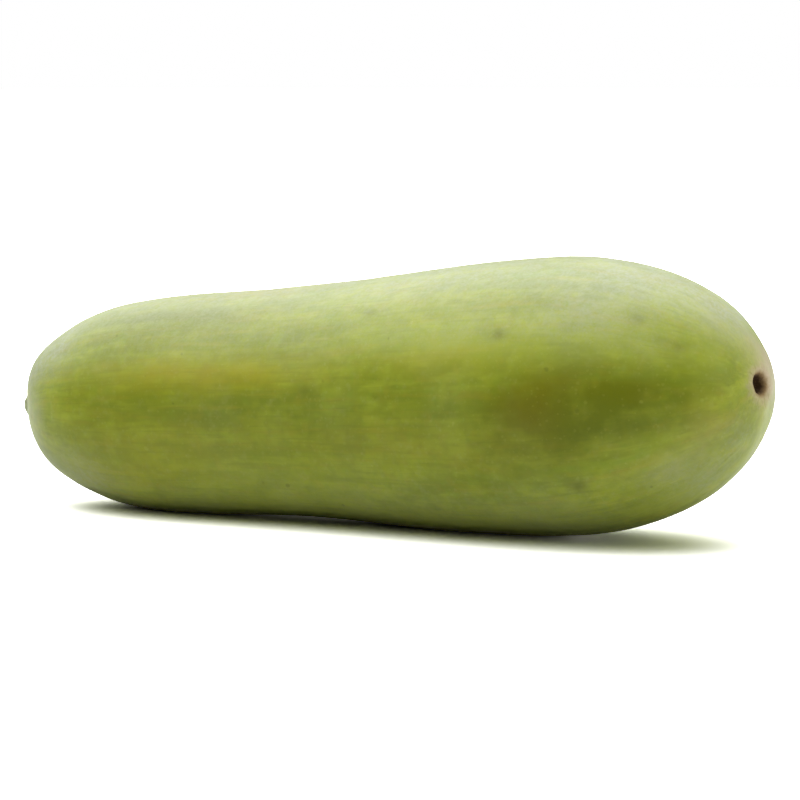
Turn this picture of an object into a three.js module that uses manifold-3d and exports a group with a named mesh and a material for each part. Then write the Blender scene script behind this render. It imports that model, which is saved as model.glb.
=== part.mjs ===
// A wax gourd as picked, lying on its side. Units are millimetres, +Z is up.
//
// It is one grown piece, so it is one solid. The body is round about its own axis: a narrow tail
// swells into a broad end, and a rounded cap closes each. A trimmed stem stub stands on the tail.
// The broad end carries the blossom scar, a dark pit with a corky collar, a little off the axis.
// The axis leans, so that the underside touches the ground near the tail and under the broad end,
// and the two places where it has lain are flat.
//
// +X points along the gourd to its broad end. The origin is on the ground, under the middle of
// its bounding box.

import * as THREE from "three";
import { mergeVertices } from "three/addons/utils/BufferGeometryUtils.js";
import Module from "manifold-3d";

const wasm = await Module();
wasm.setup();

// Body, measured along its own axis from the tip of the tail.
const LENGTH = 366;
const TAIL_RADIUS = 51;
const BROAD_RADIUS = 60;
const SWELL_START = 100;
const SWELL_END = 283;
const TAIL_CAP = { length: 146, power: 4 };
const BROAD_CAP = { length: 93, power: 2.1 };
const AXIS_SAG = 1.5; // how far the axis bows down at mid-length
const AXIS_SWAY = 1.0; // how far it bows to one side

// Slow unevenness of the rind: height, lobes round the body, waves along it, phase in turns.
const RIPPLES = [
  { height: 0.4, lobes: 3, waves: 0, phase: 0.31 },
  { height: 0.25, lobes: 2, waves: 0.8, phase: 0.12 },
  { height: 0.2, lobes: 1, waves: 2.3, phase: 0.13 },
  { height: 0.12, lobes: 5, waves: 1.6, phase: 0.26 },
];

// Wide shallow hollows in the rind, and swellings, which have a depth below zero. Each has its
// place along the axis, its turn round the axis from +Y by way of the top, and its spread.
const HOLLOWS = [
  { along: 14, turn: 0.54, depth: 1.1, spread: 16 },
  { along: 14, turn: 0.38, depth: -1.2, spread: 16 },
  { along: 128, turn: 0.1, depth: 0.9, spread: 34 },
  { along: 262, turn: 0.93, depth: 1.1, spread: 30 },
  { along: 306, turn: 0.2, depth: 0.7, spread: 24 },
];

// The middle of each cap, out to this radius, is a round patch that carries its own feature.
const PATCH_RADIUS = 24;
const STEM_STUB = { radius: 4.8, height: 5.5, steepness: 6, ridges: 5, ridgeDepth: 0.07 };
const STEM_FLARE = { radius: 10, height: 1.8, steepness: 4 };
const SCAR_OFFSET = { y: -7.6, z: 3.4 }; // centre of the scar from the axis
const SCAR_COLLAR = { radius: 11, height: 1.2, steepness: 6 };
const SCAR_PIT = { radius: 4.7, height: 4.5, steepness: 7 };

// Rest: where the underside touches the ground, and how deep its flats are.
const TAIL_CONTACT = 68;
const BROAD_CONTACT = 233;
const FLAT_DEPTH = 0.9;

// Fineness of the mesh.
const SEGMENTS = 60; // round each ring
const PATCH_RINGS = 14;
const BODY_RINGS = 27;

const smootherstep = THREE.MathUtils.smootherstep;

// Radius of the body where neither cap has begun to close it.
const girth = (s) =>
  TAIL_RADIUS + (BROAD_RADIUS - TAIL_RADIUS) * smootherstep(s, SWELL_START, SWELL_END);

// Share of that radius which a cap leaves at a distance from its tip.
const capShare = (cap, fromTip) =>
  Math.sqrt(1 - Math.max(0, 1 - fromTip / cap.length) ** cap.power);

// The other way round: how far behind its tip a cap has reached a share of the radius.
const capDepth = (cap, share) => cap.length * (1 - (1 - share ** 2) ** (1 / cap.power));

const bodyRadius = (s) =>
  girth(s) * capShare(TAIL_CAP, s) * capShare(BROAD_CAP, LENGTH - s);

// A round plateau: its full height in the middle, half of it at its radius, nothing outside.
const plateau = (shape, distance, edge = 1) =>
  shape.height / (1 + (distance / (shape.radius * edge)) ** shape.steepness);

// Sideways and upward bow of the axis.
function bow(s) {
  const arch = 4 * (s / LENGTH) * (1 - s / LENGTH);
  return { y: AXIS_SWAY * arch, z: -AXIS_SAG * arch };
}

// How far the ripples stand out at a point. They fade towards the poles.
function rippleHeight({ x, y, z }) {
  const fade = smootherstep(Math.hypot(y, z), 0, PATCH_RADIUS);
  return RIPPLES.reduce((sum, { height, lobes, waves, phase }) => {
    const turn = phase + (waves * x) / LENGTH;
    return sum + fade * height * Math.sin(lobes * Math.atan2(z, y) + 2 * Math.PI * turn);
  }, 0);
}

// How deep the hollows are at a point. Each fades with the distance from its middle.
function hollowDepth(point) {
  return HOLLOWS.reduce((sum, { along, turn, depth, spread }) => {
    const angle = 2 * Math.PI * turn;
    const radius = bodyRadius(along);
    const middle = new THREE.Vector3(along, radius * Math.cos(angle), radius * Math.sin(angle));
    return sum + depth * Math.exp(-point.distanceToSquared(middle) / spread ** 2);
  }, 0);
}

// A point of the rind, from a point of the round body. It moves straight out from the core, the
// part of the axis between the centres of the caps, and then bows with the axis.
function rindPoint(s, y, z) {
  const point = new THREE.Vector3(s, y, z);
  const core = THREE.MathUtils.clamp(s, TAIL_RADIUS, LENGTH - BROAD_RADIUS);
  const outward = new THREE.Vector3(s - core, y, z).normalize();
  point.addScaledVector(outward, rippleHeight(point) - hollowDepth(point));
  const shift = bow(s);
  point.y += shift.y;
  point.z += shift.z;
  return point;
}

// The ring at one station of the body.
function bodyRing(s) {
  const radius = bodyRadius(s);
  return angles().map((a) => rindPoint(s, radius * Math.cos(a), radius * Math.sin(a)));
}

// A ring of the tail's patch, round the stem stub.
function tailRing(radius) {
  return angles().map((a) => {
    const ridged = 1 + STEM_STUB.ridgeDepth * Math.cos(STEM_STUB.ridges * a);
    const stub = plateau(STEM_STUB, radius, ridged) + plateau(STEM_FLARE, radius);
    const point = rindPoint(
      capDepth(TAIL_CAP, radius / TAIL_RADIUS),
      radius * Math.cos(a),
      radius * Math.sin(a),
    );
    point.x -= stub;
    return point;
  });
}

// A ring of the broad end's patch. Small rings lie round the scar, and they slide over to the
// axis as they grow, but every point stays on the cap.
function scarRing(radius) {
  const slide = 1 - (radius / PATCH_RADIUS) ** 2;
  return angles().map((a) => {
    const y = SCAR_OFFSET.y * slide + radius * Math.cos(a);
    const z = SCAR_OFFSET.z * slide + radius * Math.sin(a);
    const point = rindPoint(
      LENGTH - capDepth(BROAD_CAP, Math.hypot(y, z) / BROAD_RADIUS),
      y,
      z,
    );
    point.x += plateau(SCAR_COLLAR, radius) - plateau(SCAR_PIT, radius);
    return point;
  });
}

function angles() {
  return Array.from({ length: SEGMENTS }, (_, i) => (2 * Math.PI * i) / SEGMENTS);
}

// Radii of a patch's rings, closer together towards its centre. The last lies just inside its rim.
const patchRadii = Array.from(
  { length: PATCH_RINGS - 1 },
  (_, i) => PATCH_RADIUS * ((i + 1) / PATCH_RINGS) ** 1.3,
);

// Stations of the body's rings, closer together towards the caps.
function bodyStations() {
  const first = capDepth(TAIL_CAP, PATCH_RADIUS / TAIL_RADIUS);
  const last = LENGTH - capDepth(BROAD_CAP, PATCH_RADIUS / BROAD_RADIUS);
  return Array.from({ length: BODY_RINGS }, (_, i) => {
    const even = i / (BODY_RINGS - 1);
    const eased = 0.5 - 0.5 * Math.cos(Math.PI * even);
    return first + (last - first) * (0.6 * eased + 0.4 * even);
  });
}

// The whole rind as one closed surface: a pole, the rings from tail to broad end, a pole.
function rindGeometry() {
  const rings = [
    ...patchRadii.map(tailRing),
    ...bodyStations().map(bodyRing),
    ...patchRadii.map(scarRing).reverse(),
  ];
  const points = [tailRing(0)[0], ...rings.flat(), scarRing(0)[0]];
  const lastPoint = points.length - 1;
  const at = (ring, i) => 1 + ring * SEGMENTS + (i % SEGMENTS);

  const faces = [];
  for (let i = 0; i < SEGMENTS; i++) {
    faces.push(0, at(0, i + 1), at(0, i));
    for (let ring = 0; ring < rings.length - 1; ring++) {
      faces.push(at(ring, i), at(ring, i + 1), at(ring + 1, i + 1));
      faces.push(at(ring, i), at(ring + 1, i + 1), at(ring + 1, i));
    }
    faces.push(lastPoint, at(rings.length - 1, i), at(rings.length - 1, i + 1));
  }
  return new THREE.BufferGeometry().setFromPoints(points).setIndex(faces);
}

// Leans the body until its underside is as low at both contacts, and sinks it by the flats' depth.
function layOnGround(geometry) {
  const underside = (s) => bodyRadius(s) - bow(s).z;
  const rise = underside(BROAD_CONTACT) - underside(TAIL_CONTACT);
  geometry.translate(-LENGTH / 2, 0, 0);
  geometry.rotateY(-Math.atan2(rise, BROAD_CONTACT - TAIL_CONTACT));
  geometry.computeBoundingBox();
  geometry.translate(0, 0, -geometry.boundingBox.min.z - FLAT_DEPTH);
}

function toSolid(geometry) {
  const closed = geometry.clone();
  closed.deleteAttribute("normal");
  closed.deleteAttribute("uv");
  const merged = mergeVertices(closed);
  return new wasm.Manifold(
    new wasm.Mesh({
      numProp: 3,
      vertProperties: merged.attributes.position.array,
      triVerts: new Uint32Array(merged.index.array),
    }),
  );
}

function toGeometry(solid) {
  const mesh = solid.getMesh();
  const geometry = new THREE.BufferGeometry();
  geometry.setAttribute("position", new THREE.BufferAttribute(mesh.vertProperties, 3));
  geometry.setIndex(new THREE.BufferAttribute(mesh.triVerts, 1));
  return geometry;
}

// Cuts off what lies below the ground, which leaves the two flats.
function cutFlats(geometry) {
  const ground = new THREE.BoxGeometry(2 * LENGTH, LENGTH, LENGTH).translate(0, 0, -LENGTH / 2);
  return toGeometry(toSolid(geometry).subtract(toSolid(ground)));
}

function centreOnGround(geometry) {
  geometry.computeBoundingBox();
  const middle = geometry.boundingBox.getCenter(new THREE.Vector3());
  geometry.translate(-middle.x, -middle.y, 0);
}

function makeGourd() {
  const rind = rindGeometry();
  layOnGround(rind);
  const geometry = cutFlats(rind);
  centreOnGround(geometry);
  geometry.computeVertexNormals();
  const skin = new THREE.MeshStandardMaterial({
    color: 0x8f9f3c,
    roughness: 0.42,
    metalness: 0,
  });
  const mesh = new THREE.Mesh(geometry, skin);
  mesh.name = "wax_gourd";
  return mesh;
}

const gourd = new THREE.Group();
gourd.add(makeGourd());

export default gourd;
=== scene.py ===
# A wax gourd at rest on a pale table: rind, stem stub and blossom scar grown as one skin.
# Shapes are worked out in millimetres along the gourd's own axis, then laid down in metres.
import math

import bpy
import numpy as np
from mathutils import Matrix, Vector


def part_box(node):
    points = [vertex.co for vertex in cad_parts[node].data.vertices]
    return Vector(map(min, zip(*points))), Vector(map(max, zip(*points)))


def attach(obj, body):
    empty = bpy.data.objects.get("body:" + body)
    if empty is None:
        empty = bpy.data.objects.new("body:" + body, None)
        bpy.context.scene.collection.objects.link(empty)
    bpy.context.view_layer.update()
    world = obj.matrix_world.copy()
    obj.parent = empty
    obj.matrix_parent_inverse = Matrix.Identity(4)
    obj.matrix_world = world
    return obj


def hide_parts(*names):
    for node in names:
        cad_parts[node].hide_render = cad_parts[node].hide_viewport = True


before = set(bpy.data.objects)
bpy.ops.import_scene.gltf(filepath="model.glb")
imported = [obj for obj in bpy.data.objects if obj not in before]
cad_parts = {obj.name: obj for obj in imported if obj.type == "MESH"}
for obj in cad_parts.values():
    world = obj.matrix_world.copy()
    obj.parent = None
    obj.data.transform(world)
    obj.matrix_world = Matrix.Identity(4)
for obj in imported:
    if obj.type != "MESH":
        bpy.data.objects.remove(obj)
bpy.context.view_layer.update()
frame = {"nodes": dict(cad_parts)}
nodeLow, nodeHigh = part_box("wax_gourd")
print("frame loaded:", ", ".join(frame["nodes"]))

mm = 0.001
fullTurn = 2 * math.pi


gourd = {
    "length": 366,
    "tailRadius": 51,
    "broadRadius": 60,
    "swell": (100, 283),  # where the tail widens into the broad end
    "tailCap": (146, 4.0),  # length, power
    "broadCap": (93, 2.1),
    "sag": 1.5,  # bow of the axis at mid length, downwards
    "sway": 1.0,  # and to one side
    "contacts": (68, 233),  # where the underside meets the table
    "flatDepth": 0.9,
    "patchRadius": 24,  # round patch at each pole that carries the stub or the scar
    "grainReach": 12,  # how near a pole the threads of the rind begin to merge
    "around": 256,
    "patchRings": 56,
    "patchCrowding": 1.15,  # how much closer a patch's rings lie towards its middle
    "bodyRings": 262,
    "bodyCrowding": 0.6,  # the same for the body's rings, towards the caps
    "slant": 1.2,  # distance over the skin for each millimetre along, beside the patches
}

# slow waves of the rind: height, lobes round it, waves along it, phase in turns
ripples = [(0.4, 3, 0, 0.31), (0.25, 2, 0.8, 0.12), (0.2, 1, 2.3, 0.13), (0.12, 5, 1.6, 0.26)]

# wide hollows: place along, turn round the axis, depth, spread (a depth below zero swells)
hollows = [
    (14, 0.54, 1.1, 16),
    (14, 0.38, -1.2, 16),
    (128, 0.1, 0.9, 34),
    (262, 0.93, 1.1, 30),
    (306, 0.2, 0.7, 24),
]

rindSkin = {
    "ribs": 11,
    "ribHeight": 0.1,
    "ribWander": (120, 6, 0.5),  # spacing, waves, how far the ribs turn with them, in radians
    "lumps": (34, 14, 0.16),  # spacing, waves, height
    "grain": (11, 16, 0.035),
    "fade": (10, 40),  # distance from the axis: nothing up to the first, all past the second
    "dents": 46,
    "dentMargin": 20,
    "dentDepth": (0.06, 0.22),
    "dentSpread": (2.4, 5.5),
    "seed": 7,
}

# colour patches: place along, turn round the axis, half length, half width, strength
rindPatches = {
    # darker patches: the band along the middle of the side facing the camera (turn 0.47 to 0.56) is
    # partly darker rind and partly painted shade; the narrow streaks higher up and the patches at
    # the back are darker rind
    "deep": [
        (317, 0.515, 30, 13, 0.8),
        (301, 0.497, 28, 14, 0.5),
        (344, 0.500, 14, 13, 0.55),
        (322, 0.475, 20, 11, 0.35),
        (270, 0.515, 20, 14, 0.45),
        (283, 0.560, 34, 10, 0.5),
        (205, 0.525, 48, 24, 0.35),
        (120, 0.525, 55, 24, 0.30),
        (88, 0.342, 48, 9, 0.55),
        (50, 0.515, 30, 18, 0.33),
        (100, 0.365, 30, 6, 0.3),
        (160, 0.345, 22, 5, 0.3),
        (22, 0.545, 9, 13, 0.28),
        (90, 0.47, 28, 10, 0.26),
        (110, 0.98, 60, 22, 0.4),
        (280, 0.98, 46, 20, 0.55),
    ],
    # lighter green bands along the upper slope (turn about 0.4) and the lower slope (turn 0.59 to
    # 0.68) of the side facing the camera: painted light, where the overhead light and the table's
    # bounce fall
    "sunny": [
        (70, 0.41, 42, 9, 0.12),
        (140, 0.40, 46, 12, 0.25),
        (215, 0.405, 40, 12, 0.6),
        (262, 0.43, 34, 13, 0.85),
        (322, 0.405, 26, 13, 1.0),
        (350, 0.40, 10, 12, 0.7),
        (338, 0.60, 22, 14, 0.35),
        (150, 0.59, 55, 14, 0.35),
        (90, 0.67, 60, 13, 0.8),
        (170, 0.67, 60, 13, 0.8),
        (262, 0.675, 40, 14, 0.7),
        (330, 0.68, 26, 14, 0.6),
    ],
    "brown": [
        (281, 0.505, 15, 13, 1.0),
        (303, 0.475, 20, 8, 0.5),
        (330, 0.49, 14, 6, 0.3),
    ],
    "beige": [
        (350, 0.325, 15, 10, 0.45),
        (333, 0.615, 10, 7, 0.4),
        (347, 0.60, 12, 9, 0.3),
    ],
    "mustard": [
        (118, 0.446, 62, 8, 0.9),
        (92, 0.545, 40, 12, 0.4),
        (215, 0.54, 40, 9, 0.3),
        (240, 0.44, 26, 7, 0.4),
        (60, 0.60, 40, 8, 0.4),
        (352, 0.55, 14, 11, 0.5),
    ],
    # pale greyish patches, partly wax bloom and partly painted light: painted highlight along the
    # top and upper slopes, painted reflection on the rims at both ends and along the lower slope of
    # the side facing the camera; the two long ones at the back are bloom
    "bloom": [
        (55, 0.255, 60, 23, 0.9),
        (150, 0.27, 60, 22, 0.8),
        (240, 0.265, 60, 27, 0.88),
        (325, 0.262, 44, 27, 1.0),
        (318, 0.335, 28, 14, 0.15),
        (230, 0.33, 80, 14, 0.35),
        (70, 0.32, 50, 13, 0.3),
        (26, 0.34, 16, 15, 0.85),
        (12, 0.40, 12, 16, 0.8),
        (30, 0.40, 18, 14, 0.35),
        (150, 0.393, 150, 13, 0.32),
        (262, 0.405, 34, 10, 0.2),
        (303, 0.385, 20, 13, 0.45),
        (331, 0.42, 12, 7, 0.15),
        (45, 0.62, 18, 17, 0.35),
        (80, 0.66, 60, 20, 0.22),
        (180, 0.65, 60, 20, 0.24),
        (280, 0.66, 50, 22, 0.28),
        (333, 0.615, 12, 8, 0.2),
        (26, 0.68, 24, 16, 0.5),
        (344, 0.68, 18, 14, 0.5),
        (359, 0.64, 8, 12, 0.3),
        (352, 0.24, 16, 18, 0.6),
        (60, 0.16, 50, 17, 0.6),
        (200, 0.15, 130, 17, 0.5),
        (325, 0.14, 34, 20, 0.6),
        (190, 0.03, 170, 26, 0.2),
        (190, 0.90, 170, 24, 0.35),
    ],
    "blush": [
        (365.8, 0.27, 5, 8, 1.0),
        (363.5, 0.12, 5, 12, 0.85),
        (361, 0.28, 7, 9, 0.35),
    ],
    "spot": [
        (267, 0.416, 3.4, 2.6, 0.9),
        (325, 0.382, 4.0, 2.6, 0.7),
        (342, 0.412, 3.0, 2.2, 0.6),
        (199.5, 0.371, 3.4, 2.2, 0.6),
        (209, 0.484, 3.0, 2.2, 0.6),
        (173, 0.473, 4.4, 2.4, 0.6),
        (298, 0.602, 4.2, 3.2, 0.8),
    ],
}

# more of them on the far side: how many, half lengths, half widths, strengths
strewnPatches = {
    "deep": (10, (18, 50), (9, 17), (0.4, 0.9)),
    "sunny": (9, (18, 50), (9, 15), (0.4, 0.8)),
    "mustard": (7, (18, 50), (6, 12), (0.3, 0.8)),
    "brown": (3, (12, 22), (7, 11), (0.4, 0.8)),
    "beige": (3, (8, 14), (6, 9), (0.2, 0.4)),
    "bloom": (5, (14, 34), (8, 14), (0.1, 0.3)),
    "blush": (0, (1, 1), (1, 1), (0, 0)),  # none, it stays round the scar
    "spot": (12, (2.5, 4.5), (2.0, 3.2), (0.4, 0.9)),
}
strewnPlace = {"along": (20, 350), "turn": (0.68, 1.26), "seed": 21}


def smootherStep(x, low, high):
    # 6t^5 - 15t^4 + 10t^3 of the share t of the way from low to high
    t = np.clip((x - low) / (high - low), 0, 1)
    return t**3 * (t * (6 * t - 15) + 10)


def capShare(cap, fromTip):
    # root of 1 - (1 - distance from the tip / cap length) ^ power: the share of girth left
    length, power = cap
    return np.sqrt(1 - np.clip(1 - fromTip / length, 0, None) ** power)


def capDepth(cap, share):
    # length x (1 - (1 - share^2) ^ (1 / power)): the same curve solved for the distance
    length, power = cap
    return length * (1 - (1 - np.clip(share, 0, 1) ** 2) ** (1 / power))


def bodyRadius(along):
    # tail radius + swelling x smootherStep, times the share that each cap leaves
    g = gourd
    swelling = (g["broadRadius"] - g["tailRadius"]) * smootherStep(along, *g["swell"])
    girth = g["tailRadius"] + swelling
    return girth * capShare(g["tailCap"], along) * capShare(g["broadCap"], g["length"] - along)


def plateau(distance, radius, steepness):
    # 1 / (1 + (distance / radius) ^ steepness): one inside the radius, nothing outside
    return 1 / (1 + (distance / radius) ** steepness)


def axisBow(along):
    # parabola over the length, down by the sag and sideways by the sway
    arch = 4 * along / gourd["length"] * (1 - along / gourd["length"])
    return gourd["sway"] * arch, -gourd["sag"] * arch


def planeWaves(points, spacing, count, seed):
    # sum of sine waves in random directions, each about one spacing long, over the root of count
    draw = np.random.default_rng(seed)
    onward = draw.normal(size=(count, 3))
    onward /= np.linalg.norm(onward, axis=1, keepdims=True)
    rate = fullTurn / (spacing * draw.uniform(0.7, 1.5, count))
    start = draw.uniform(0, fullTurn, count)
    return np.sin(points @ (onward * rate[:, None]).T + start).sum(-1) / math.sqrt(count)


def onBody(along, turn):
    # point of the round body: place along, radius x cosine and radius x sine of the turn
    radius = bodyRadius(along)
    angle = fullTurn * turn
    return np.array([along, radius * math.cos(angle), radius * math.sin(angle)])


def wideRelief(points, angle):
    # size x sin(lobes x angle + phase) for each ripple, faded at the poles,
    # less depth x exp(-(distance / spread)^2) for each wide hollow
    fade = smootherStep(np.hypot(points[..., 1], points[..., 2]), 0, gourd["patchRadius"])
    height = np.zeros(angle.shape)
    for size, lobes, waves, phase in ripples:
        turn = phase + waves * points[..., 0] / gourd["length"]
        height += fade * size * np.sin(lobes * angle + fullTurn * turn)
    for along, turn, depth, spread in hollows:
        away = ((points - onBody(along, turn)) ** 2).sum(-1)
        height -= depth * np.exp(-away / spread**2)
    return height


def fineRelief(points, angle):
    # height x cos(ribs x angle) + slow lumps + grain, less depth x exp(-(distance / spread)^2)
    # for each small dent, all faded at the poles
    r = rindSkin
    draw = np.random.default_rng(r["seed"])
    fade = smootherStep(np.hypot(points[..., 1], points[..., 2]), *r["fade"])
    spacing, waves, swing = r["ribWander"]
    wander = swing * planeWaves(points, spacing, waves, r["seed"] + 1)
    height = r["ribHeight"] * np.cos(r["ribs"] * angle + wander)
    for step, layer in enumerate(("lumps", "grain"), start=2):
        spacing, waves, size = r[layer]
        height += size * planeWaves(points, spacing, waves, r["seed"] + step)
    for _ in range(r["dents"]):
        along = draw.uniform(r["dentMargin"], gourd["length"] - r["dentMargin"])
        middle = onBody(along, draw.uniform(0, 1))
        spread = draw.uniform(*r["dentSpread"])
        away = ((points - middle) ** 2).sum(-1)
        height -= draw.uniform(*r["dentDepth"]) * np.exp(-away / spread**2)
    return height * fade


def raised(along, y, z):
    # point of the round body + relief x direction straight out from the core of the axis
    points = np.stack([along, y, z], axis=-1)
    angle = np.arctan2(z, y)
    core = np.clip(along, gourd["tailRadius"], gourd["length"] - gourd["broadRadius"])
    outward = np.stack([along - core, y, z], axis=-1)
    outward /= np.linalg.norm(outward, axis=-1, keepdims=True)
    relief = wideRelief(points, angle) + fineRelief(points, angle)
    return points + outward * relief[..., None]


def scattered(kind):
    # random patches of one kind on the side away from the listed ones
    count, lengths, widths, strengths = strewnPatches[kind]
    draw = np.random.default_rng([strewnPlace["seed"], list(strewnPatches).index(kind)])
    for _ in range(count):
        place = draw.uniform(*strewnPlace["along"]), draw.uniform(*strewnPlace["turn"])
        yield *place, draw.uniform(*lengths), draw.uniform(*widths), draw.uniform(*strengths)


def patchField(kind, points):
    # sum of oval spots: strength x exp(-(reach along / length)^2 - (reach across / width)^2)
    field = np.zeros(points.shape[:-1])
    for along, turn, length, width, strength in [*rindPatches[kind], *scattered(kind)]:
        away = points - onBody(along, turn)
        across = np.hypot(away[..., 1], away[..., 2])
        field += strength * np.exp(-((away[..., 0] / length) ** 2) - (across / width) ** 2)
    return np.minimum(field, 1)


stub = {
    "radius": 5.8,
    "height": 5.6,
    "steepness": 3.2,
    "foot": 11,  # from here the bell fades out to the patch's rim
    "ridges": 5,
    "ridgeDepth": 0.08,
    "ridgeTurn": 0.4,
    "flareRadius": 10,
    "flareHeight": 1.8,
    "flareRidges": (0.12, 3, 9),  # share of its height, distances between which they set in
    "faceDip": 0.35,  # the cut face is a little hollow
    "dipRadius": 0.55,  # as a share of the stub's radius
    "bundles": 10,  # vessel bundles ringed on the cut face
    "bundleRing": (0.45, 0.5, 0.14),  # share of the radius, width, height
    "softEdge": 4,  # steepness of flare, dip and grain
    "grain": (3.2, 12, 0.12, 9),  # spacing, waves, height, reach
    "seed": 5,
}

scar = {
    "offset": (-7.2, 3.0),
    "collarRadius": 11,
    "collarHeight": 1.1,
    "collarSteepness": 6,
    "collarWaves": [(0.05, 3, 1.1), (0.04, 5, 2.3)],  # size, lobes, phase of its edge
    "pitRadius": 3.7,
    "pitDepth": 5.0,
    "pitSteepness": 6,
    "pitWaves": [(0.04, 3, 0.5), (0.02, 7, 0.0)],
    "cracks": 13,
    "crackDepth": 0.18,
    "crackWidth": 0.22,
    "crackWander": (0.7, 0.5),  # how far they stray round the scar and along their way
    "crackStart": (1.1, 1.7),  # shares of the pit's radius between which they set in
    "crackEnd": 9.5,
    "fibres": 17,
    "fibreHeight": 0.25,
    "fibreTwist": 2.2,
    "floorRadius": 0.75,  # as a share of the pit's
    "button": (0.5, 1.5),  # height and radius of the withered style left on the pit's floor
    "sharpEdge": 8,  # steepness where the cracks and the floor end
}


def wavyEdge(angle, waves):
    # one, plus size x sin(lobes x angle + phase) for each wave
    return 1 + sum(size * np.sin(lobes * angle + phase) for size, lobes, phase in waves)


def stubHeight(distance, angle):
    # ridged bell and flare, each height x plateau, less a dish in the cut face,
    # plus height x exp(-(distance from a ring / width)^2) for the vessel bundles, and grain
    s = stub
    ridges = np.cos(s["ridges"] * angle + s["ridgeTurn"])
    bell = plateau(distance, s["radius"] * (1 + s["ridgeDepth"] * ridges), s["steepness"])
    bell = bell * (1 - smootherStep(distance, s["foot"], gourd["patchRadius"]))
    flare = s["flareHeight"] * plateau(distance, s["flareRadius"], s["softEdge"])
    share, low, high = s["flareRidges"]
    flare = flare * (1 + share * ridges * smootherStep(distance, low, high))
    dish = s["faceDip"] * plateau(distance, s["dipRadius"] * s["radius"], s["softEdge"])
    share, width, rise = s["bundleRing"]
    ring = np.exp(-(((distance - share * s["radius"]) / width) ** 2))
    bundles = rise * ring * (1 + np.cos(s["bundles"] * angle)) / 2
    place = [distance * np.cos(angle), distance * np.sin(angle), 0 * distance]
    spacing, waves, size, reach = s["grain"]
    grain = size * planeWaves(np.stack(place, axis=-1), spacing, waves, s["seed"])
    grain = grain * plateau(distance, reach, s["softEdge"])
    return s["height"] * bell + flare - dish + bundles + grain


def scarHeight(distance, angle):
    # collar less pit, each height x plateau, less exp(-(distance from a line / width)^2) for
    # each radial crack, plus sine-shaped fibres and a round button on the pit's floor
    s = scar
    collarEdge = s["collarRadius"] * wavyEdge(angle, s["collarWaves"])
    collar = s["collarHeight"] * plateau(distance, collarEdge, s["collarSteepness"])
    around, onward = s["crackWander"]
    wander = around * np.sin(2 * angle) + onward * np.sin(distance)
    crackLine = np.abs(np.sin(s["cracks"] / 2 * angle + wander))
    low, high = s["crackStart"]
    band = smootherStep(distance, low * s["pitRadius"], high * s["pitRadius"])
    band = band * plateau(distance, s["crackEnd"], s["sharpEdge"])
    crack = s["crackDepth"] * band * np.exp(-((crackLine / s["crackWidth"]) ** 2))
    pitEdge = s["pitRadius"] * wavyEdge(angle, s["pitWaves"])
    pit = s["pitDepth"] * plateau(distance, pitEdge, s["pitSteepness"])
    size, reach = s["button"]
    floor = plateau(distance, s["floorRadius"] * s["pitRadius"], s["sharpEdge"])
    floor = floor * np.minimum(distance / reach, 1)
    twist = np.sin(s["fibres"] * angle + s["fibreTwist"] * distance)
    fibre = s["fibreHeight"] * floor * (0.5 + 0.5 * twist)
    button = size * np.exp(-((distance / reach) ** 2))
    return collar - crack - pit + fibre + button


def patchRadii():
    # rim x share ^ crowding: rings from the pole out, closer together in the middle
    rings = gourd["patchRings"]
    share = np.arange(rings) / rings
    return gourd["patchRadius"] * share ** gourd["patchCrowding"]


def tailPatch(angle):
    # rings round the axis on the tail's cap, pushed out by the stub
    distance = patchRadii()[:, None] + 0 * angle
    y, z = distance * np.cos(angle), distance * np.sin(angle)
    along = capDepth(gourd["tailCap"], distance / gourd["tailRadius"])
    points = raised(along, y, z)
    points[..., 0] -= stubHeight(distance, angle)
    return points, distance


def scarPatch(angle):
    # rings round the scar that slide over to the axis as they grow, all on the broad cap
    distance = patchRadii()[:, None] + 0 * angle
    slide = 1 - (distance / gourd["patchRadius"]) ** 2
    y = scar["offset"][0] * slide + distance * np.cos(angle)
    z = scar["offset"][1] * slide + distance * np.sin(angle)
    share = np.hypot(y, z) / gourd["broadRadius"]
    along = gourd["length"] - capDepth(gourd["broadCap"], share)
    points = raised(along, y, z)
    points[..., 0] += scarHeight(distance, angle)
    return points[::-1], distance[::-1]


def bodyBand(angle):
    # rings from one patch's rim to the other's, spaced part evenly and part by a half cosine,
    # which brings them closer together towards the caps
    g = gourd
    first = capDepth(g["tailCap"], g["patchRadius"] / g["tailRadius"])
    last = g["length"] - capDepth(g["broadCap"], g["patchRadius"] / g["broadRadius"])
    even = np.linspace(0, 1, g["bodyRings"])
    eased = 0.5 - 0.5 * np.cos(math.pi * even)
    share = g["bodyCrowding"] * eased + (1 - g["bodyCrowding"]) * even
    along = (first + (last - first) * share)[:, None] + 0 * angle
    radius = bodyRadius(along)
    return raised(along, radius * np.cos(angle), radius * np.sin(angle))


def layDown(points):
    # bow, lean until both contacts are as low, sink by the flats' depth, then fit the CAD node
    g = gourd
    sway, sag = axisBow(points[..., 0])
    x = points[..., 0] - g["length"] / 2
    z = points[..., 2] + sag
    tailContact, broadContact = g["contacts"]
    drop = [bodyRadius(along) - axisBow(along)[1] for along in g["contacts"]]
    lean = math.atan2(drop[1] - drop[0], broadContact - tailContact)
    ahead = x * math.cos(lean) - z * math.sin(lean)
    up = x * math.sin(lean) + z * math.cos(lean)
    up = np.maximum(up - up.min() - g["flatDepth"], 0)
    laid = np.stack([ahead, points[..., 1] + sway, up], axis=-1)
    low, high = laid.reshape(-1, 3).min(0), laid.reshape(-1, 3).max(0)
    share = (np.array(nodeHigh) - np.array(nodeLow)) / (high - low)
    return (laid - low) * share + np.array(nodeLow)


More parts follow.
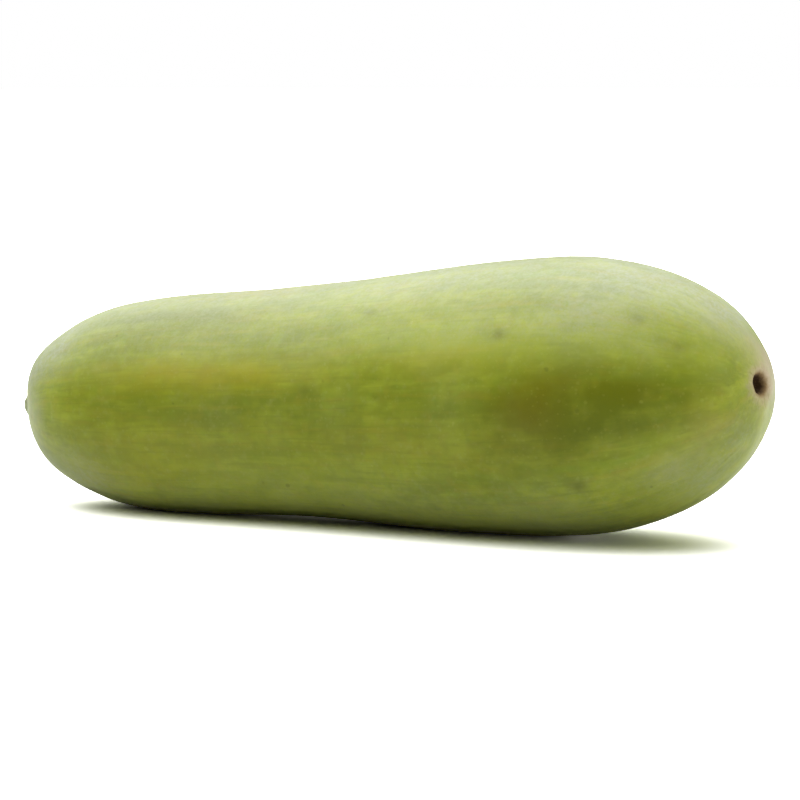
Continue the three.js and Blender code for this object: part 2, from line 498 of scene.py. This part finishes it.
def closedSkin(name, rings):
    # rings (count, around, 3) joined by quads; the first and last ring shrink to one point each
    count, around = rings.shape[:2]
    corners = np.concatenate([rings[:1, 0], rings[1:-1].reshape(-1, 3), rings[-1:, 0]])
    here = np.arange(around)
    after = (here + 1) % around
    start = 1 + np.arange(count - 3)[:, None] * around
    nextStart = start + around
    quads = [start + here, start + after, nextStart + after, nextStart + here]
    quads = np.stack(quads, axis=-1)
    lastStart = 1 + (count - 3) * around
    firstFan = np.stack([0 * here, 1 + after, 1 + here], axis=-1)
    lastFan = np.stack([0 * here + len(corners) - 1, lastStart + here, lastStart + after], axis=-1)
    loops = np.concatenate([quads.ravel(), firstFan.ravel(), lastFan.ravel()])
    sizes = np.concatenate([np.full(quads[..., 0].size, 4), np.full(2 * around, 3)])
    mesh = bpy.data.meshes.new(name)
    mesh.vertices.add(len(corners))
    mesh.vertices.foreach_set("co", corners.astype(np.float32).ravel())
    mesh.loops.add(len(loops))
    mesh.loops.foreach_set("vertex_index", loops.astype(np.int32))
    mesh.polygons.add(len(sizes))
    mesh.polygons.foreach_set("loop_start", (np.cumsum(sizes) - sizes).astype(np.int32))
    mesh.polygons.foreach_set("use_smooth", np.ones(len(sizes), dtype=bool))
    mesh.update(calc_edges=True)
    mesh.validate()
    return mesh


def storeField(mesh, name, rings):
    # one value or vector per corner point, in the order closedSkin lays them
    inner = rings[1:-1].reshape(-1, *rings.shape[2:])
    values = np.concatenate([rings[:1, 0], inner, rings[-1:, 0]])
    isVector = values.ndim == 2
    layer = mesh.attributes.new(name, "FLOAT_VECTOR" if isVector else "FLOAT", "POINT")
    layer.data.foreach_set("vector" if isVector else "value", values.astype(np.float32).ravel())


def makeGourd():
    # tail patch, body rings and broad patch laid down as one skin, with the fields it is painted by
    angle = np.linspace(0, fullTurn, gourd["around"], endpoint=False)[None, :]
    tail, tailReach = tailPatch(angle)
    body = bodyBand(angle)
    broad, broadReach = scarPatch(angle)
    points = np.concatenate([tail, body, broad])
    mesh = closedSkin("gourdRind", layDown(points))

    # distance over the skin from the stub and from the scar, in metres
    rim, slant = gourd["patchRadius"], gourd["slant"]
    beyondTail = rim + slant * (body[..., 0] - body[0, :, 0].mean())
    beyondBroad = rim + slant * (body[-1, :, 0].mean() - body[..., 0])
    farOff = np.full(tailReach.shape, gourd["length"])
    storeField(mesh, "stemReach", np.concatenate([tailReach, beyondTail, farOff]) * mm)
    storeField(mesh, "scarReach", np.concatenate([farOff, beyondBroad, broadReach]) * mm)

    # grain: direction round the pole, drawn in near it so that threads don't crowd there
    reach = np.concatenate([tailReach, np.hypot(body[..., 1], body[..., 2]), broadReach])
    pull = gourd["grainReach"]
    spread = (1 + pull / gourd["tailRadius"]) * reach / (reach + pull)
    along = points[..., 0] / gourd["length"]
    grain = np.stack([spread * np.cos(angle), spread * np.sin(angle), along], axis=-1)
    storeField(mesh, "grain", grain)
    for kind in rindPatches:
        storeField(mesh, kind + "Field", patchField(kind, points))
    piece = bpy.data.objects.new("gourdRind", mesh)
    bpy.context.collection.objects.link(piece)
    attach(piece, "root")
    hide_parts("wax_gourd")
    return piece


gourdRind = makeGourd()
print("rind:", len(gourdRind.data.vertices), "points")


def addNode(tree, kind, inputs=None, **settings):
    # settings are the node's own properties, inputs go to its sockets by name or number
    made = tree.nodes.new(kind)
    for key, value in settings.items():
        setattr(made, key, value)
    for key, value in (inputs or {}).items():
        feed(tree, value, made.inputs[key])
    return made


def feed(tree, value, socket):
    # a socket is linked, a colour gets its alpha, a plain value is set
    if isinstance(value, bpy.types.NodeSocket):
        tree.links.new(value, socket)
    elif socket.type == "RGBA" and len(value) == 3:
        socket.default_value = (*value, 1)
    else:
        socket.default_value = value


def newGroup(name, inputs, output):
    # node group with float inputs by name, after a vector, and one float output
    tree = bpy.data.node_groups.new(name, "ShaderNodeTree")
    tree.interface.new_socket("Vector", in_out="INPUT", socket_type="NodeSocketVector")
    for label, start in inputs.items():
        socket = tree.interface.new_socket(label, in_out="INPUT", socket_type="NodeSocketFloat")
        socket.default_value = start
    tree.interface.new_socket(output, in_out="OUTPUT", socket_type="NodeSocketFloat")
    given = tree.nodes.new("NodeGroupInput").outputs
    return tree, given, tree.nodes.new("NodeGroupOutput").inputs[output]


def useGroup(tree, group, inputs):
    # output of a group placed in the tree with its own values
    return addNode(tree, "ShaderNodeGroup", inputs, node_tree=group).outputs[0]


def calc(tree, operation, *values, clamp=False):
    # output of a Math node fed with the values in order
    inputs = dict(enumerate(values))
    made = addNode(tree, "ShaderNodeMath", inputs, operation=operation, use_clamp=clamp)
    return made.outputs[0]


def vectorCalc(tree, operation, *values):
    # the same for vectors
    inputs = dict(enumerate(values))
    return addNode(tree, "ShaderNodeVectorMath", inputs, operation=operation).outputs[0]


def dotProduct(tree, first, second):
    # length of the first along the second
    inputs = {0: first, 1: second}
    made = addNode(tree, "ShaderNodeVectorMath", inputs, operation="DOT_PRODUCT")
    return made.outputs["Value"]


def softRange(tree, value, low, high, toLow=0.0, toHigh=1.0):
    # 3t^2 - 2t^3 of the share t of the way from low to high, spread from toLow to toHigh
    levels = {"Value": value, "From Min": low, "From Max": high, "To Min": toLow, "To Max": toHigh}
    made = addNode(tree, "ShaderNodeMapRange", levels, interpolation_type="SMOOTHSTEP")
    return made.outputs["Result"]


def mixColour(tree, share, first, second):
    # first + share x (second - first)
    made = addNode(tree, "ShaderNodeMix", {0: share}, data_type="RGBA")
    feed(tree, first, made.inputs[6])
    feed(tree, second, made.inputs[7])
    return made.outputs[2]


def makeClouds():
    # soft patches: noise at one scale, cut between two levels
    start = {"Scale": 30.0, "Detail": 2.0, "Low": 0.4, "High": 0.6}
    tree, given, mask = newGroup("softClouds", start, "Mask")
    noise = {name: given[name] for name in ("Vector", "Scale", "Detail")}
    noise["Roughness"] = 0.55
    cloud = addNode(tree, "ShaderNodeTexNoise", noise).outputs["Fac"]
    tree.links.new(softRange(tree, cloud, given["Low"], given["High"]), mask)
    return tree


fleckShape = {
    "drift": 0.5,  # how far a fleck strays, in cells
    "size": (0.8, 0.5),  # how much of its size is by chance, and how much is sure
    "core": 0.55,  # where it begins to fade, as a share of its size
}


def makeFlecks():
    # small round flecks of uneven size, one to a cell, missing from some cells
    start = {"Scale": 300.0, "Size": 0.25, "Share": 0.7}
    tree, given, mask = newGroup("roundFlecks", start, "Mask")
    warp = {"Vector": given["Vector"], "Scale": given["Scale"], "Detail": 1.0}
    drift = addNode(tree, "ShaderNodeTexNoise", warp).outputs["Color"]
    drift = vectorCalc(tree, "SUBTRACT", drift, (0.5, 0.5, 0.5))
    shift = {0: drift, "Scale": calc(tree, "DIVIDE", fleckShape["drift"], given["Scale"])}
    drift = addNode(tree, "ShaderNodeVectorMath", shift, operation="SCALE").outputs[0]
    place = vectorCalc(tree, "ADD", given["Vector"], drift)
    cells = addNode(tree, "ShaderNodeTexVoronoi", {"Vector": place, "Scale": given["Scale"]})
    chance = addNode(tree, "ShaderNodeSeparateColor", {"Color": cells.outputs["Color"]})
    size = calc(tree, "MULTIPLY_ADD", chance.outputs["Green"], *fleckShape["size"])
    size = calc(tree, "MULTIPLY", given["Size"], size)
    inner = calc(tree, "MULTIPLY", size, fleckShape["core"])
    dot = softRange(tree, cells.outputs["Distance"], inner, size, 1.0, 0.0)
    there = calc(tree, "LESS_THAN", chance.outputs["Red"], given["Share"])
    tree.links.new(calc(tree, "MULTIPLY", dot, there), mask)
    return tree


def makeThreads():
    # threads that follow the length: noise on the grain, drawn out along the axis
    tree, given, value = newGroup("lengthThreads", {"Across": 12.0, "Along": 5.0}, "Value")
    stretch = {"X": given["Across"], "Y": given["Across"], "Z": given["Along"]}
    stretch = addNode(tree, "ShaderNodeCombineXYZ", stretch).outputs[0]
    place = vectorCalc(tree, "MULTIPLY", given["Vector"], stretch)
    noise = {"Vector": place, "Scale": 1.0, "Detail": 3.0, "Roughness": 0.6}
    tree.links.new(addNode(tree, "ShaderNodeTexNoise", noise).outputs["Fac"], value)
    return tree


softClouds = makeClouds()
roundFlecks = makeFlecks()
lengthThreads = makeThreads()
print("groups built")


rindTones = {
    "fresh": (0.344, 0.402, 0.018),
    "deep": (0.219, 0.269, 0.014),
    "darkest": (0.142, 0.172, 0.001),
    "brown": (0.178, 0.165, 0.001),
    "sunny": (0.412, 0.468, 0.035),
    "mustard": (0.378, 0.329, 0.022),
    "leaf": (0.229, 0.344, 0.022),
    "pale": (0.43, 0.46, 0.13),
    "cream": (0.62, 0.58, 0.30),
    "fleck": (0.50, 0.53, 0.12),
    "spot": (0.130, 0.150, 0.006),
    "beige": (0.42, 0.40, 0.22),
    "blush": (0.60, 0.49, 0.38),
    "bloom": (0.445, 0.475, 0.385),
    "cork": (0.54, 0.42, 0.29),
    "corkDark": (0.24, 0.135, 0.035),
    "pit": (0.040, 0.017, 0.002),
    "pitFibre": (0.085, 0.045, 0.01),
    "stubSide": (0.22, 0.255, 0.15),
    "cutFace": (0.48, 0.45, 0.27),
}

# threads along the length: how fine across and along, levels between which they show, share, tone
rindThreads = [
    (2.2, 4.5, 0.64, 0.36, 1.00, "deep"),
    (1.7, 3.0, 0.54, 0.74, 0.70, "mustard"),
    (3.1, 5.0, 0.54, 0.74, 0.65, "leaf"),
    (7.0, 16.0, 0.50, 0.72, 0.75, "deep"),
    (6.0, 13.0, 0.52, 0.74, 0.75, "sunny"),
    (9.0, 5.0, 0.50, 0.70, 0.45, "sunny"),
    (9.0, 5.0, 0.48, 0.30, 0.55, "deep"),
    (16.0, 8.0, 0.52, 0.70, 0.45, "mustard"),
    (30.0, 11.0, 0.50, 0.70, 0.60, "deep"),
]

# mottle: size in mm, levels, detail, share, tone
rindMottle = [
    (8.3, 0.46, 0.72, 2.0, 0.45, "deep"),
    (9.5, 0.48, 0.74, 2.0, 0.40, "sunny"),
    (6.5, 0.52, 0.72, 3.0, 0.28, "mustard"),
    (5.0, 0.52, 0.72, 3.0, 0.34, "leaf"),
    (4.2, 0.50, 0.70, 3.0, 0.32, "deep"),
    (3.8, 0.52, 0.74, 3.0, 0.20, "pale"),
]

# what each kind of patch is painted with, and how much of it shows
patchPaint = {
    # the darkest paint of the deep patches is partly painted shade along the middle of the side
    # facing the camera
    "deep": ("darkest", 0.92),
    "sunny": ("sunny", 0.60),
    "mustard": ("mustard", 0.65),
    "brown": ("brown", 0.75),
    "beige": ("beige", 0.60),
    "blush": ("blush", 0.75),
    "spot": ("spot", 0.75),
}

# flecks: cell in mm, size as a share of it, share of the cells, share, tone
rindFlecks = [
    (2.4, 0.30, 0.75, 0.10, "fleck"),
    (6.7, 0.14, 0.45, 0.15, "fleck"),
    (13.3, 0.10, 0.35, 0.45, "spot"),
]

# clouds that break edges and stain: size in mm, levels, detail
paintClouds = {
    "patchEdge": (16, 0.3, 0.7, 4.0),
    "groundEdge": (25, 0.3, 0.7, 3.0),
    "scuffs": (3.2, 0.35, 0.62, 4.0),
    "smallScuffs": (1.2, 0.3, 0.7, 1.0),
    "thinBloom": (36, 0.42, 0.70, 4.0),
    "scarEdge": (2.6, 0.3, 0.7, 3.0),
    "corkGrit": (1.4, 0.45, 0.7, 4.0),
    "lipEdge": (1.1, 0.3, 0.7, 3.0),
    "pitFibre": (0.8, 0.5, 0.7, 3.0),
    "stubStain": (2.0, 0.4, 0.65, 3.0),
    "cutStain": (0.7, 0.45, 0.65, 3.0),
    "gloss": (16, 0.3, 0.7, 2.0),
}

# rings of paint: full up to the first distance in mm, gone at the second, share
rindRings = {
    "scarPale": (12, 44, 0.12),
    "stubPowder": (12, 42, 0.16),
    "groundCream": (0, 2.2, 0.75),
    "scarHalo": (8, 18, 0.15),
    "collar": (6.5, 12, 1.0),
    "scarLip": (4.2, 6.8, 0.80),
    "scarPit": (3.4, 5.4, 1.0),
    "stubSide": (6, 9.5, 1.0),
    "stubCut": (2.6, 3.8, 1.0),
}

# shares of the paints above, and how far clouds move their edges
rindPaint = {
    "patchBreak": (0.7, 0.6),  # part of a patch that follows the clouds, part that doesn't
    "groundRise": 2.2,  # how much further up the cream reaches under the clouds, in mm
    "scuffBreak": (0.35, 0.35, 0.60),  # parts of bloom that follow scuffs, small ones, neither
    # share of the bloom field's pale paint, which is partly wax bloom and partly painted highlight
    # and reflection
    "bloomAndHighlightShare": 0.54,
    "bloomOverall": 0.05,
    "scarRagged": 2.0,  # how far clouds draw in the edges round the scar, in mm
    "lipRagged": 0.3,  # the same for the lip of the pit
    "collarShare": 0.60,
    "gritShare": 0.4,
    "pitFibreShare": 0.5,
    "stubShare": 0.75,
    "stubStainShare": 0.4,
}

# relief too fine for the mesh: noise size in mm, detail, roughness, share of the height
rindBump = {
    "waves": (5.9, 2.0, 0.5, 0.9),
    "pores": (1.1, 3.0, 0.5, 0.25),
    "corkGrit": (0.67, 5.0, 0.7, 3.0),
    "threads": (30.0, 11.0, 0.8),  # across, along, share
    "flecks": (0.35, 0.5),  # shares of the fine and the large ones
    "strength": 0.35,
    "distance": 0.00012,
}

rindGloss = {
    "roughness": 0.40,
    "powderRoughness": 0.25,
    "corkRoughness": 0.35,
    "cloudRoughness": -0.05,
    "fixed": {
        "IOR": 1.45,
        "Specular IOR Level": 0.3,
        "Sheen Weight": 0.04,
        "Sheen Roughness": 0.5,
        "Sheen Tint": (0.95, 1.0, 0.9, 1),
        "Subsurface Weight": 0.04,
        "Subsurface Radius": (0.8, 1.0, 0.2),
        "Subsurface Scale": 0.002,
    },
}


def makeRindMaterial():
    # colours laid over one another from the green up, then roughness, then bump
    paint, gloss = rindPaint, rindGloss
    material = bpy.data.materials.new("gourdRind")
    material.use_nodes = True
    tree = material.node_tree
    skin = tree.nodes["Principled BSDF"]
    place = addNode(tree, "ShaderNodeTexCoord").outputs["Object"]
    grain = addNode(tree, "ShaderNodeAttribute", attribute_name="grain").outputs["Vector"]

    def field(name):
        return addNode(tree, "ShaderNodeAttribute", attribute_name=name).outputs["Fac"]

    def clouds(size, low, high, detail):
        inputs = {"Scale": 1 / (size * mm), "Low": low, "High": high, "Detail": detail}
        return useGroup(tree, softClouds, {"Vector": place, **inputs})

    def cloud(name):
        return clouds(*paintClouds[name])

    def flecks(cell, size, share):
        inputs = {"Vector": place, "Scale": 1 / (cell * mm), "Size": size, "Share": share}
        return useGroup(tree, roundFlecks, inputs)

    def threads(across, along):
        inputs = {"Vector": grain, "Across": across, "Along": along}
        return useGroup(tree, lengthThreads, inputs)

    def noise(size, detail, roughness):
        inputs = {"Scale": 1 / (size * mm), "Detail": detail, "Roughness": roughness}
        return addNode(tree, "ShaderNodeTexNoise", {"Vector": place, **inputs}).outputs["Fac"]

    def times(first, second, clamp=False):
        return calc(tree, "MULTIPLY", first, second, clamp=clamp)

    def plus(first, share, second):
        # share x first + second
        return calc(tree, "MULTIPLY_ADD", first, share, second)

    def over(colour, share, tone):
        # tone is a name from rindTones or a colour socket
        return mixColour(tree, share, colour, rindTones[tone] if isinstance(tone, str) else tone)

    def stained(tone, share, stain):
        # one of rindTones, with a share of another over it
        return mixColour(tree, share, rindTones[tone], rindTones[stain])

    def within(reach, name):
        # how much of a ring of paint shows at a distance from its middle
        inner, outer, share = rindRings[name]
        return softRange(tree, reach, inner * mm, outer * mm, share, 0.0)

    # green of the rind: threads along the length, then mottle
    colour = rindTones["fresh"]
    for across, along, low, high, share, tone in rindThreads:
        shown = softRange(tree, threads(across, along), low, high, 0.0, share)
        colour = over(colour, shown, tone)
    for size, low, high, detail, share, tone in rindMottle:
        colour = over(colour, times(clouds(size, low, high, detail), share), tone)

    # patches, their edges broken by cloud; the lighter green bands on the upper and lower slopes of
    # the side facing the camera are painted light, and the darkest band along its middle is partly
    # painted shade
    broken = plus(cloud("patchEdge"), *paint["patchBreak"])
    for kind, (tone, share) in patchPaint.items():
        patch = times(field(kind + "Field"), broken, clamp=True)
        colour = over(colour, times(patch, share), tone)

    # paler round the scar and the stub, cream where it lay on the ground
    stem, eye = field("stemReach"), field("scarReach")
    colour = over(colour, within(eye, "scarPale"), "pale")
    colour = over(colour, within(stem, "stubPowder"), "bloom")
    height = addNode(tree, "ShaderNodeSeparateXYZ", {"Vector": place}).outputs["Z"]
    edge = plus(cloud("groundEdge"), -paint["groundRise"] * mm, height)
    colour = over(colour, within(edge, "groundCream"), "cream")

    masks = [flecks(*numbers[:3]) for numbers in rindFlecks]
    for mask, numbers in zip(masks, rindFlecks):
        colour = over(colour, times(mask, numbers[3]), numbers[4])

    # pale powdery paint: thick where the bloom field says, partly wax bloom and partly painted
    # highlight along the top and painted reflection on the rims and the lower slope, a little bloom
    # in clouds, worn through in small scuffs
    scuffShare, smallShare, sure = paint["scuffBreak"]
    scuffs = plus(cloud("scuffs"), scuffShare, plus(cloud("smallScuffs"), smallShare, sure))
    thick = times(times(field("bloomField"), scuffs), paint["bloomAndHighlightShare"])
    offDeep = calc(tree, "SUBTRACT", 1.0, field("deepField"), clamp=True)
    thin = times(cloud("thinBloom"), offDeep)
    powderAndHighlight = calc(tree, "MULTIPLY_ADD", thin, paint["bloomOverall"], thick, clamp=True)
    colour = over(colour, powderAndHighlight, "bloom")

    # blossom scar: cream halo, corky collar, brown lip that darkens into the pit
    ragged = plus(cloud("scarEdge"), paint["scarRagged"] * mm, eye)
    colour = over(colour, within(ragged, "scarHalo"), "cream")
    collar = within(ragged, "collar")
    corkTone = stained("cork", times(cloud("corkGrit"), paint["gritShare"]), "corkDark")
    colour = over(colour, times(collar, paint["collarShare"]), corkTone)
    lip = plus(cloud("lipEdge"), paint["lipRagged"] * mm, eye)
    colour = over(colour, within(lip, "scarLip"), "corkDark")
    pitTone = stained("pit", times(cloud("pitFibre"), paint["pitFibreShare"]), "pitFibre")
    colour = over(colour, within(lip, "scarPit"), pitTone)

    # stem stub: greyed side, tan where it was cut
    dry = within(stem, "stubSide")
    dryTone = stained("stubSide", times(cloud("stubStain"), paint["stubStainShare"]), "pale")
    colour = over(colour, times(dry, paint["stubShare"]), dryTone)
    cutTone = stained("cutFace", cloud("cutStain"), "cork")
    colour = over(colour, within(stem, "stubCut"), cutTone)
    tree.links.new(colour, skin.inputs["Base Color"])

    # roughness: satin rind, dull powder, matt cork
    rough = plus(powderAndHighlight, gloss["powderRoughness"], gloss["roughness"])
    rough = plus(cloud("gloss"), gloss["cloudRoughness"], rough)
    cork = calc(tree, "MAXIMUM", collar, dry)
    tree.links.new(plus(cork, gloss["corkRoughness"], rough), skin.inputs["Roughness"])

    # bump: pores, threads and flecks on the rind, coarse grit on the cork
    waves, pores, grit = rindBump["waves"], rindBump["pores"], rindBump["corkGrit"]
    fineShare, largeShare = rindBump["flecks"]
    across, along, threadShare = rindBump["threads"]
    level = plus(noise(*waves[:3]), waves[3], times(masks[0], fineShare))
    level = plus(masks[1], largeShare, level)
    level = plus(threads(across, along), threadShare, level)
    level = plus(noise(*pores[:3]), pores[3], level)
    level = plus(times(noise(*grit[:3]), cork), grit[3], level)
    bump = {"Height": level, "Strength": rindBump["strength"], "Distance": rindBump["distance"]}
    tree.links.new(addNode(tree, "ShaderNodeBump", bump).outputs["Normal"], skin.inputs["Normal"])

    for name, value in gloss["fixed"].items():
        skin.inputs[name].default_value = value
    return material


gourdRind.data.materials.append(makeRindMaterial())
print("rind material built")


studio = {
    "azimuth": 28.0,
    "elevation": 5.5,
    "distance": 1.5,
    "lens": 152.5,
    "sensor": 36,
    "farthest": 200,  # what the camera still sees, in metres
    "aim": (0.0112, 0.0, 0.0554),
    "tableRadius": 40.0,
    "tableSides": 96,
    "tableColour": 2.0,  # over one, so that only the deepest of the shadow shows
    "tableBounce": 0.70,  # as soft light from below sees it
    "tableGlint": (0.78, 0.06),  # as gloss sees it: behind and beside the gourd, and before it
    "glintReach": (-0.14, 0.12),  # where it falls from one to the other, in metres
    "glintAzimuth": 10.0,  # towards this side
    # azimuth and height of its brightest place, strength, tightness
    "dome": (241.0, 73.0, 5.9, 4.5),
    # azimuth, width, height, distance, level, brightness
    "sideCard": (118.0, 3.6, 0.42, 2.0, 0.21, 3.6),
}


def heading(azimuth, elevation=0.0):
    # unit vector from the gourd towards a camera at that azimuth and elevation
    a, e = math.radians(azimuth), math.radians(elevation)
    return Vector((math.sin(a) * math.cos(e), -math.cos(a) * math.cos(e), math.sin(e)))


def lookAlong(direction):
    # turn that points -Z along a direction, with Y upwards
    return direction.to_track_quat("-Z", "Y").to_euler()


def grey(level):
    return level, level, level


def makeTable():
    # flat disc: radius x cosine and sine of the turn; its brightness depends on what looks at it
    turn = np.linspace(0, fullTurn, studio["tableSides"], endpoint=False)
    rim = np.stack([np.cos(turn), np.sin(turn), 0 * turn], axis=-1) * studio["tableRadius"]
    mesh = bpy.data.meshes.new("table")
    mesh.from_pydata(rim.tolist(), [], [list(range(len(turn)))])
    table = bpy.data.objects.new("table", mesh)
    bpy.context.collection.objects.link(table)
    material = bpy.data.materials.new("table")
    material.use_nodes = True
    tree = material.node_tree
    tree.nodes.remove(tree.nodes["Principled BSDF"])
    ray = addNode(tree, "ShaderNodeLightPath").outputs
    seen, bounced = grey(studio["tableColour"]), grey(studio["tableBounce"])
    colour = mixColour(tree, ray["Is Diffuse Ray"], seen, bounced)
    place = addNode(tree, "ShaderNodeTexCoord").outputs["Object"]
    before = dotProduct(tree, place, tuple(heading(studio["glintAzimuth"])))
    glint = softRange(tree, before, *studio["glintReach"], *studio["tableGlint"])
    colour = mixColour(tree, ray["Is Glossy Ray"], colour, glint)
    paint = addNode(tree, "ShaderNodeBsdfDiffuse", {"Color": colour})
    tree.links.new(paint.outputs[0], tree.nodes["Material Output"].inputs["Surface"])
    mesh.materials.append(material)


def makeSky():
    # soft dome: strength x (cosine from its brightest place) ^ tightness, plain white to the camera
    azimuth, level, strength, tightness = studio["dome"]
    world = bpy.data.worlds.new("softDome")
    bpy.context.scene.world = world
    world.use_nodes = True
    tree = world.node_tree
    tree.nodes.clear()
    out = tree.nodes.new("ShaderNodeOutputWorld")
    toward = addNode(tree, "ShaderNodeTexCoord").outputs["Generated"]
    lean = dotProduct(tree, toward, tuple(heading(azimuth, level)))
    glow = calc(tree, "POWER", calc(tree, "MAXIMUM", lean, 0.0), tightness)
    glow = calc(tree, "MULTIPLY", glow, strength)
    dome = addNode(tree, "ShaderNodeBackground", {"Color": (1, 1, 1, 1), "Strength": glow})
    plain = addNode(tree, "ShaderNodeBackground", {"Color": (1, 1, 1, 1), "Strength": 1.0})
    seen = addNode(tree, "ShaderNodeLightPath").outputs["Is Camera Ray"]
    both = addNode(tree, "ShaderNodeMixShader", {0: seen, 1: dome.outputs[0], 2: plain.outputs[0]})
    tree.links.new(both.outputs[0], out.inputs["Surface"])


def makeCard(name, azimuth, width, height, distance, level, brightness):
    # upright soft card facing the gourd
    lamp = bpy.data.lights.new(name, "AREA")
    lamp.shape = "RECTANGLE"
    lamp.size = width
    lamp.size_y = height
    lamp.energy = brightness * math.pi * width * height
    card = bpy.data.objects.new(name, lamp)
    bpy.context.collection.objects.link(card)
    away = heading(azimuth)
    card.location = away * distance + Vector((0, 0, level))
    card.rotation_euler = lookAlong(-away)
    card.visible_camera = False
    card.visible_glossy = False


def makeCamera():
    # at the aim, plus the distance towards its azimuth and elevation
    lens = bpy.data.cameras.new("camera")
    lens.lens = studio["lens"]
    lens.sensor_width = studio["sensor"]
    lens.clip_end = studio["farthest"]
    camera = bpy.data.objects.new("camera", lens)
    bpy.context.collection.objects.link(camera)
    back = heading(studio["azimuth"], studio["elevation"])
    camera.location = Vector(studio["aim"]) + back * studio["distance"]
    camera.rotation_euler = lookAlong(-back)
    bpy.context.scene.camera = camera


makeTable()
makeSky()
makeCard("sideCard", *studio["sideCard"])
makeCamera()
bpy.context.scene.view_settings.view_transform = "Standard"
print("studio built")
